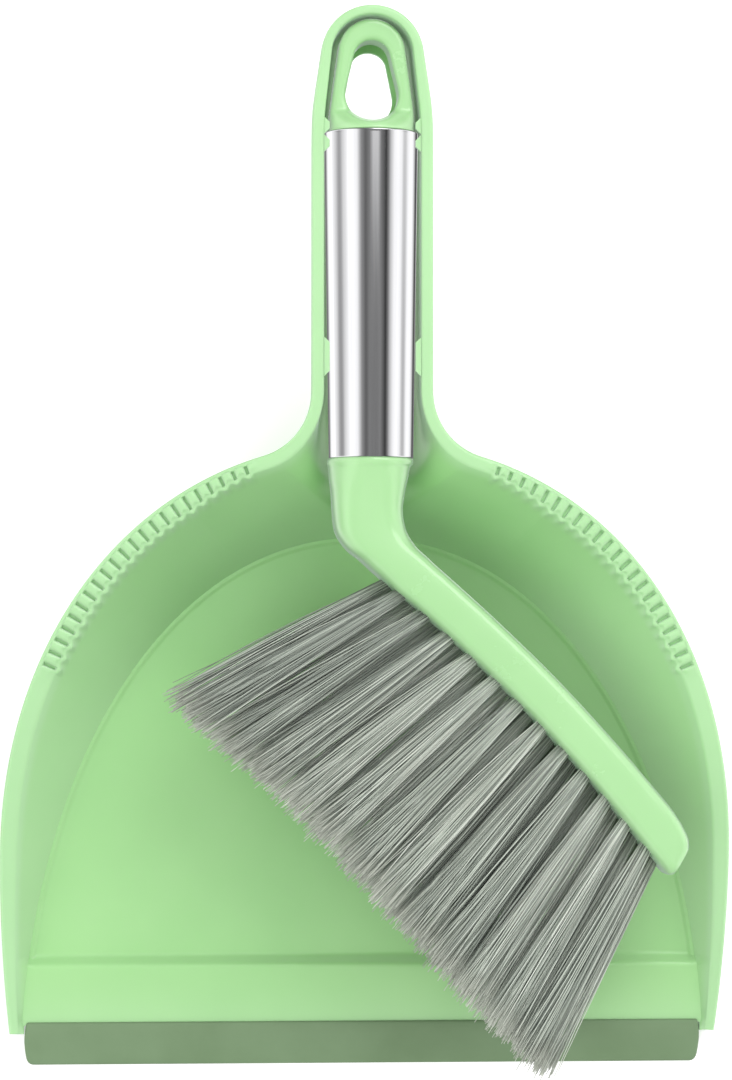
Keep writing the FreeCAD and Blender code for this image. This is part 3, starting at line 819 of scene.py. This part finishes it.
# ------------------------------------------------------------------ bristles
def tuft_ends(node):
    """Root centre, tip centre and direction of a tuft's cone."""
    pts = np.array([v.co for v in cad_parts[node].data.vertices]) / MM
    middle = pts.mean(0)
    axis = np.linalg.svd(pts - middle, full_matrices=False)[2][0]
    t = (pts - middle) @ axis
    ends = []
    for side in (t.min(), t.max()):
        ring = pts[np.abs(t - side) < 0.3]
        centre = (ring.min(0) + ring.max(0)) / 2
        ends.append((np.linalg.norm(ring - centre, axis=1).max(), centre))
    ends.sort(key=lambda e: e[0])
    root, tip = ends[0][1], ends[1][1]
    aim = (tip - root) / np.linalg.norm(tip - root)
    return root, tip, aim


# the fan closes by a share of each tuft's turn from the first, and the last tufts are longer
FAN_FIRST = math.radians(209.0 - 360.0)
FAN_CLOSE = 0.2
END_REACH = 5.6
END_REACH_X = (30.0, 80.0)
FIBRES = 120
FIBRE_RADIUS = 0.17
FIBRE_SEGMENTS = 5
FIBRE_SIDES = 4
ROOT_SPREAD = 2.0


def build_tuft(node, number):
    root, tip, aim = tuft_ends(node)
    turn = FAN_CLOSE * (FAN_FIRST - math.atan2(aim[1], aim[0]))
    aim = np.array([aim[0] * math.cos(turn) - aim[1] * math.sin(turn),
                    aim[0] * math.sin(turn) + aim[1] * math.cos(turn), aim[2]])
    across = np.cross([0, 0, 1.0], aim)
    across /= np.linalg.norm(across)
    lift = np.cross(aim, across)
    length = np.linalg.norm(tip - root)
    late = (root[0] - END_REACH_X[0]) / (END_REACH_X[1] - END_REACH_X[0])
    end_reach = END_REACH * float(smooth(late))
    tuft_tone = RNG.random()
    verts, faces, tints = [], [], []
    segments, sides = FIBRE_SEGMENTS, FIBRE_SIDES
    for _ in range(FIBRES):
        rr = math.sqrt(RNG.random())
        aa = RNG.random() * 2 * math.pi
        ru, rw = rr * math.cos(aa), rr * math.sin(aa)
        root_u = ru * ROOT_SPREAD
        start = root + aim * 3.0 + across * root_u + lift * rw * ROOT_SPREAD
        spread_u = ru * 5.0 + RNG.normal() * 0.85
        spread_w = rw * 4.4 + RNG.normal() * 0.6
        if RNG.random() < 0.05:
            spread_u *= 1.5
        reach = length * (1.0 + RNG.normal() * 0.014) - abs(spread_u) * 0.14
        reach += 2.1 * (1 - rr) + RNG.normal() * 0.9 + end_reach
        end = root + aim * reach + across * spread_u + lift * spread_w
        bend = across * RNG.normal() * 0.7 + lift * RNG.normal() * 0.5
        curl = across * RNG.normal() * 0.5 + lift * RNG.normal() * 0.5
        tint = 0.72 * RNG.random() + 0.28 * tuft_tone
        base = len(verts)
        for k in range(segments + 1):
            t = k / segments
            ease = t ** 1.15
            p = start + (end - start) * t + across * (spread_u - root_u) * (ease - t)
            p = p + bend * math.sin(math.pi * t) + curl * max(0.0, t - 0.8) ** 2 * 12
            r = FIBRE_RADIUS * (1.0 if k < segments else 0.75)
            for m in range(sides):
                a = 2 * math.pi * (m + 0.5) / sides
                verts.append(p + across * r * math.cos(a) + lift * r * math.sin(a))
                tints.append((tint, t, 0.0, 1.0))
        for k in range(segments):
            low = base + k * sides
            for m in range(sides):
                q = (m + 1) % sides
                faces.append((low + m, low + q, low + sides + q, low + sides + m))
        last = base + segments * sides
        faces.append(tuple(last + m for m in range(sides)))
        faces.append(tuple(base + m for m in range(sides))[::-1])
    obj = new_object("bristles_%02d" % number, verts, faces)
    layer = obj.data.color_attributes.new("strand", "FLOAT_COLOR", "POINT")
    layer.data.foreach_set("color", np.array(tints, dtype=np.float32).ravel())
    obj.data.shade_smooth()
    return obj


# ------------------------------------------------------------------ materials
def srgb(hex_code):
    out = []
    for i in (0, 2, 4):
        c = int(hex_code[i:i + 2], 16) / 255
        out.append(c / 12.92 if c <= 0.04045 else ((c + 0.055) / 1.055) ** 2.4)
    return (*out, 1.0)


def material(name):
    mat = bpy.data.materials.new(name)
    mat.use_nodes = True
    nodes = mat.node_tree.nodes
    return mat, nodes, mat.node_tree.links, nodes["Principled BSDF"]


def noise(nodes, links, scale, detail=3.0, rough=0.55):
    coords = nodes.new("ShaderNodeTexCoord")
    tex = nodes.new("ShaderNodeTexNoise")
    tex.inputs["Scale"].default_value = scale
    tex.inputs["Detail"].default_value = detail
    tex.inputs["Roughness"].default_value = rough
    links.new(coords.outputs["Object"], tex.inputs["Vector"])
    return tex


def ramp(nodes, links, source, stops):
    node = nodes.new("ShaderNodeValToRGB")
    elements = node.color_ramp.elements
    elements[0].position, elements[0].color = stops[0]
    elements[1].position, elements[1].color = stops[-1]
    for position, colour in stops[1:-1]:
        e = elements.new(position)
        e.color = colour
    links.new(source, node.inputs["Fac"])
    return node


def add_bump(nodes, links, source, strength, distance, bsdf):
    bump = nodes.new("ShaderNodeBump")
    bump.inputs["Strength"].default_value = strength
    bump.inputs["Distance"].default_value = distance
    links.new(source.outputs["Fac"], bump.inputs["Height"])
    links.new(bump.outputs["Normal"], bsdf.inputs["Normal"])


def vary_roughness(nodes, links, source, low, high, bsdf):
    rough = nodes.new("ShaderNodeMapRange")
    rough.inputs["To Min"].default_value = low
    rough.inputs["To Max"].default_value = high
    links.new(source.outputs["Fac"], rough.inputs["Value"])
    links.new(rough.outputs["Result"], bsdf.inputs["Roughness"])


def moulded_plastic(name, dark, light, rough_low, rough_high, coat, rim_light_tones=None):
    """Moulded plastic: colour drift, fine grain, rubbed patches, and a paler colour painted in as light on
    the rim where the rim light attribute is 1.
    """
    mat, nodes, links, bsdf = material(name)
    cloud = noise(nodes, links, 14.0, 4.0)
    colour = ramp(nodes, links, cloud.outputs["Fac"], [(0.3, srgb(dark)), (0.7, srgb(light))])
    colour = colour.outputs["Color"]
    # painted light: blend towards the paler rim tones by the rim light attribute
    if rim_light_tones:
        painted_rim_light = nodes.new("ShaderNodeVertexColor")
        painted_rim_light.layer_name = "painted_rim_light"
        painted_rim_colour = ramp(nodes, links, cloud.outputs["Fac"], [(0.3, srgb(rim_light_tones[0])), (0.7, srgb(rim_light_tones[1]))])
        mix = nodes.new("ShaderNodeMix")
        mix.data_type = "RGBA"
        links.new(painted_rim_light.outputs["Color"], mix.inputs["Factor"])
        links.new(colour, mix.inputs["A"])
        links.new(painted_rim_colour.outputs["Color"], mix.inputs["B"])
        colour = mix.outputs["Result"]
    links.new(colour, bsdf.inputs["Base Color"])
    rub = noise(nodes, links, 60.0, 6.0, 0.65)
    vary_roughness(nodes, links, rub, rough_low, rough_high, bsdf)
    grain = noise(nodes, links, 2600.0, 2.0)
    add_bump(nodes, links, grain, 0.05, 0.0002, bsdf)
    bsdf.inputs["Specular IOR Level"].default_value = 0.45
    bsdf.inputs["Coat Weight"].default_value = coat
    bsdf.inputs["Coat Roughness"].default_value = 0.18
    bsdf.inputs["Sheen Weight"].default_value = 0.35
    bsdf.inputs["Sheen Roughness"].default_value = 0.35
    bsdf.inputs["Sheen Tint"].default_value = srgb("D8FFE6")
    bsdf.inputs["Subsurface Weight"].default_value = 0.12
    bsdf.inputs["Subsurface Radius"].default_value = (0.0025, 0.004, 0.002)
    bsdf.inputs["Subsurface Scale"].default_value = 1.0
    return mat


def lip_rubber():
    mat, nodes, links, bsdf = material("lip_rubber")
    cloud = noise(nodes, links, 35.0, 5.0)
    colour = ramp(nodes, links, cloud.outputs["Fac"], [(0.3, srgb("657D5B")), (0.7, srgb("708867"))])
    links.new(colour.outputs["Color"], bsdf.inputs["Base Color"])
    grain = noise(nodes, links, 1800.0, 3.0)
    add_bump(nodes, links, grain, 0.15, 0.0002, bsdf)
    vary_roughness(nodes, links, cloud, 0.5, 0.75, bsdf)
    bsdf.inputs["Specular IOR Level"].default_value = 0.35
    return mat


def polished_steel():
    mat, nodes, links, bsdf = material("polished_steel")
    bsdf.inputs["Metallic"].default_value = 1.0
    coords = nodes.new("ShaderNodeTexCoord")
    stretch = nodes.new("ShaderNodeMapping")
    stretch.inputs["Scale"].default_value = (900.0, 12.0, 900.0)
    brush = nodes.new("ShaderNodeTexNoise")
    brush.inputs["Scale"].default_value = 1.0
    brush.inputs["Detail"].default_value = 4.0
    links.new(coords.outputs["Object"], stretch.inputs["Vector"])
    links.new(stretch.outputs["Vector"], brush.inputs["Vector"])
    greys = [(0.2, (0.60, 0.60, 0.615, 1)), (0.8, (0.68, 0.68, 0.69, 1))]
    colour = ramp(nodes, links, brush.outputs["Fac"], greys)
    links.new(colour.outputs["Color"], bsdf.inputs["Base Color"])
    vary_roughness(nodes, links, brush, 0.06, 0.11, bsdf)
    add_bump(nodes, links, brush, 0.02, 0.0001, bsdf)
    return mat


def bristle_fibre():
    mat, nodes, links, bsdf = material("bristle_fibre")
    strand = nodes.new("ShaderNodeVertexColor")
    strand.layer_name = "strand"
    split = nodes.new("ShaderNodeSeparateColor")
    links.new(strand.outputs["Color"], split.inputs["Color"])
    tones = ((0.0, "646A63"), (0.35, "939B91"), (0.7, "B7BFB3"), (1.0, "DDE2D8"))
    body = ramp(nodes, links, split.outputs["Red"], [(place, srgb(tone)) for place, tone in tones])
    tip = ramp(nodes, links, split.outputs["Green"], [(0.9, (0, 0, 0, 1)), (1.0, (0.3, 0.3, 0.3, 1))])
    mix = nodes.new("ShaderNodeMix")
    mix.data_type = "RGBA"
    links.new(tip.outputs["Color"], mix.inputs["Factor"])
    links.new(body.outputs["Color"], mix.inputs["A"])
    mix.inputs["B"].default_value = srgb("BDBBAE")
    links.new(mix.outputs["Result"], bsdf.inputs["Base Color"])
    bsdf.inputs["Roughness"].default_value = 0.42
    bsdf.inputs["Specular IOR Level"].default_value = 0.5
    return mat


def wire():
    mat, nodes, links, bsdf = material("staple_wire")
    bsdf.inputs["Metallic"].default_value = 1.0
    streak = noise(nodes, links, 900.0, 3.0)
    colour = ramp(nodes, links, streak.outputs["Fac"], [(0.3, srgb("8E8E8C")), (0.7, srgb("B4B4B2"))])
    links.new(colour.outputs["Color"], bsdf.inputs["Base Color"])
    bsdf.inputs["Roughness"].default_value = 0.35
    return mat


# paler greens painted onto the rim top as light; the lugs on the rim use them as their whole colour, so
# they are painted as lit too
PAINTED_RIM_LIGHT_TONES = ("9DC893", "A4CE9A")
PAN_GREEN = moulded_plastic("pan_plastic", "93C584", "9BCB8B", 0.30, 0.42, 0.3, PAINTED_RIM_LIGHT_TONES)
LUG_GREEN = moulded_plastic("lug_plastic", *PAINTED_RIM_LIGHT_TONES, 0.30, 0.42, 0.3)
BRUSH_GREEN = moulded_plastic("brush_plastic", "97C58B", "9FCC93", 0.20, 0.32, 0.7)
LIP = lip_rubber()
STEEL = polished_steel()
FIBRE = bristle_fibre()
WIRE = wire()


def wear(obj, mat):
    obj.data.materials.clear()
    obj.data.materials.append(mat)


# ------------------------------------------------------------------ assemble
pan = build_pan()
wear(pan, PAN_GREEN)
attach(pan, "pan")
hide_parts("dustpan_shell")
pan.visible_glossy = False

cut_hang_hole(pan)

lip = build_lip()
wear(lip, LIP)
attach(lip, "pan")
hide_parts("rubber_lip")

stock = build_stock()
wear(stock, BRUSH_GREEN)
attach(stock, "brush")
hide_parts("brush_stock")

sleeve = build_sleeve()
wear(sleeve, STEEL)
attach(sleeve, "brush")
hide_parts("steel_sleeve")

cap = build_cap()
wear(cap, BRUSH_GREEN)
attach(cap, "brush")
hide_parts("loop_cap")

tuft_nodes = sorted(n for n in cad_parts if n.startswith("tuft_") and n[5:].isdigit())
for number, node in enumerate(tuft_nodes, start=1):
    tuft = build_tuft(node, number)
    wear(tuft, FIBRE)
    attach(tuft, "brush")
    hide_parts(node)

for node, mat in (("handle_snap_lugs", LUG_GREEN), ("tuft_staples", WIRE)):
    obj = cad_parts[node]
    for slot in obj.material_slots:
        slot.material = mat
    obj.visible_glossy = False


# ------------------------------------------------------------------ floor, light, camera
FLOOR_REACH = 4000
FLOOR_GAP = 0.4
EVEN_LIGHT = 0.86

# places across the light tent (0 left, 1 right) and their brightness in the steel;
# the middle is dark over the low end of the grip and bright over the high end
TENT_LEFT = ((0.0, 0.45), (0.012, 1.0), (0.06, 1.6), (0.118, 1.6), (0.187, 1.4), (0.23, 0.8),
             (0.268, 0.4), (0.353, 0.17), (0.44, 0.3))
TENT_MIDDLE = (0.52, 0.62)
TENT_MIDDLE_LEVELS = (0.27, 1.05)
TENT_MIDDLE_RISE = (0.065, 0.10)
TENT_RIGHT = ((0.68, 0.3), (0.786, 0.05), (0.83, 0.3), (0.858, 0.72), (0.92, 1.45), (0.966, 1.6),
              (0.99, 1.4), (1.0, 0.7))


def studio():
    """White floor, even white surroundings and a light-tent reflection for the steel."""
    signs = ((-1, -1), (1, -1), (1, 1), (-1, 1))
    corners = [(sx * FLOOR_REACH, sy * FLOOR_REACH, -FLOOR_GAP) for sx, sy in signs]
    floor = new_object("studio_floor", corners, [(0, 1, 2, 3)])
    mat, nodes, links, bsdf = material("studio_floor")
    bsdf.inputs["Base Color"].default_value = (0.80, 0.80, 0.80, 1)
    bsdf.inputs["Roughness"].default_value = 0.9
    bsdf.inputs["Specular IOR Level"].default_value = 0.2
    bsdf.inputs["Emission Color"].default_value = (1, 1, 1, 1)
    bsdf.inputs["Emission Strength"].default_value = 0.34
    floor.data.materials.append(mat)
    floor.visible_glossy = False
    world = bpy.data.worlds.new("studio")
    bpy.context.scene.world = world
    world.use_nodes = True
    nodes, links = world.node_tree.nodes, world.node_tree.links
    background = nodes["Background"]
    coords = nodes.new("ShaderNodeTexCoord")
    split = nodes.new("ShaderNodeSeparateXYZ")
    links.new(coords.outputs["Generated"], split.inputs["Vector"])
    side = nodes.new("ShaderNodeMapRange")
    side.inputs["From Min"].default_value = -1.0
    side.inputs["From Max"].default_value = 1.0
    links.new(split.outputs["X"], side.inputs["Value"])
    along = nodes.new("ShaderNodeMapRange")
    along.inputs["From Min"].default_value = TENT_MIDDLE_RISE[0]
    along.inputs["From Max"].default_value = TENT_MIDDLE_RISE[1]
    links.new(split.outputs["Y"], along.inputs["Value"])
    bands = nodes.new("ShaderNodeMix")
    bands.data_type = "RGBA"
    links.new(along.outputs["Result"], bands.inputs["Factor"])
    for middle, socket in zip(TENT_MIDDLE_LEVELS, ("A", "B")):
        stops = [*TENT_LEFT, *((place, middle) for place in TENT_MIDDLE), *TENT_RIGHT]
        greys = [(place, (tone, tone, tone, 1)) for place, tone in stops]
        links.new(ramp(nodes, links, side.outputs["Result"], greys).outputs["Color"], bands.inputs[socket])
    path = nodes.new("ShaderNodeLightPath")
    level = nodes.new("ShaderNodeMix")
    level.data_type = "RGBA"
    links.new(path.outputs["Is Glossy Ray"], level.inputs["Factor"])
    level.inputs["A"].default_value = (EVEN_LIGHT, EVEN_LIGHT, EVEN_LIGHT, 1)
    links.new(bands.outputs["Result"], level.inputs["B"])
    links.new(level.outputs["Result"], background.inputs["Color"])
    background.inputs["Strength"].default_value = 1.0


def softbox(name, place, width, height, power, shows_in_gloss=False):
    """Rectangular soft light aimed at the middle of the set."""
    data = bpy.data.lights.new(name, "AREA")
    data.shape = "RECTANGLE"
    data.size = width
    data.size_y = height
    data.energy = power
    obj = bpy.data.objects.new(name, data)
    bpy.context.scene.collection.objects.link(obj)
    obj.location = place
    obj.rotation_euler = (-Vector(place)).to_track_quat("-Z", "Y").to_euler()
    obj.visible_glossy = shows_in_gloss


CAMERA_PLACE = (-0.0765, -0.0305, 1.2320)
CAMERA_TURN_DEG = (1.470, -3.598, -0.004)
SENSOR_MM = 36.0
FRAME_PIXELS = 1080.0
FOCAL_PIXELS = 4037.7


def camera():
    """Camera above the lower left of the middle, turned a few degrees towards it."""
    data = bpy.data.cameras.new("camera")
    obj = bpy.data.objects.new("camera", data)
    bpy.context.scene.collection.objects.link(obj)
    obj.location = CAMERA_PLACE
    obj.rotation_euler = [math.radians(turn) for turn in CAMERA_TURN_DEG]
    data.sensor_width = SENSOR_MM
    data.lens = SENSOR_MM * FOCAL_PIXELS / FRAME_PIXELS
    data.clip_start = 0.05
    data.clip_end = 20.0
    bpy.context.scene.camera = obj


studio()
softbox("key", (-0.85, -0.40, 1.5), 1.8, 1.8, 14.5)
softbox("fill", (0.75, -0.35, 1.7), 1.8, 1.8, 6.0)
softbox("sheen", (0.65, 1.00, 1.15), 1.2, 1.0, 12.0, shows_in_gloss=True)
camera()
bpy.context.scene.view_settings.view_transform = "Standard"
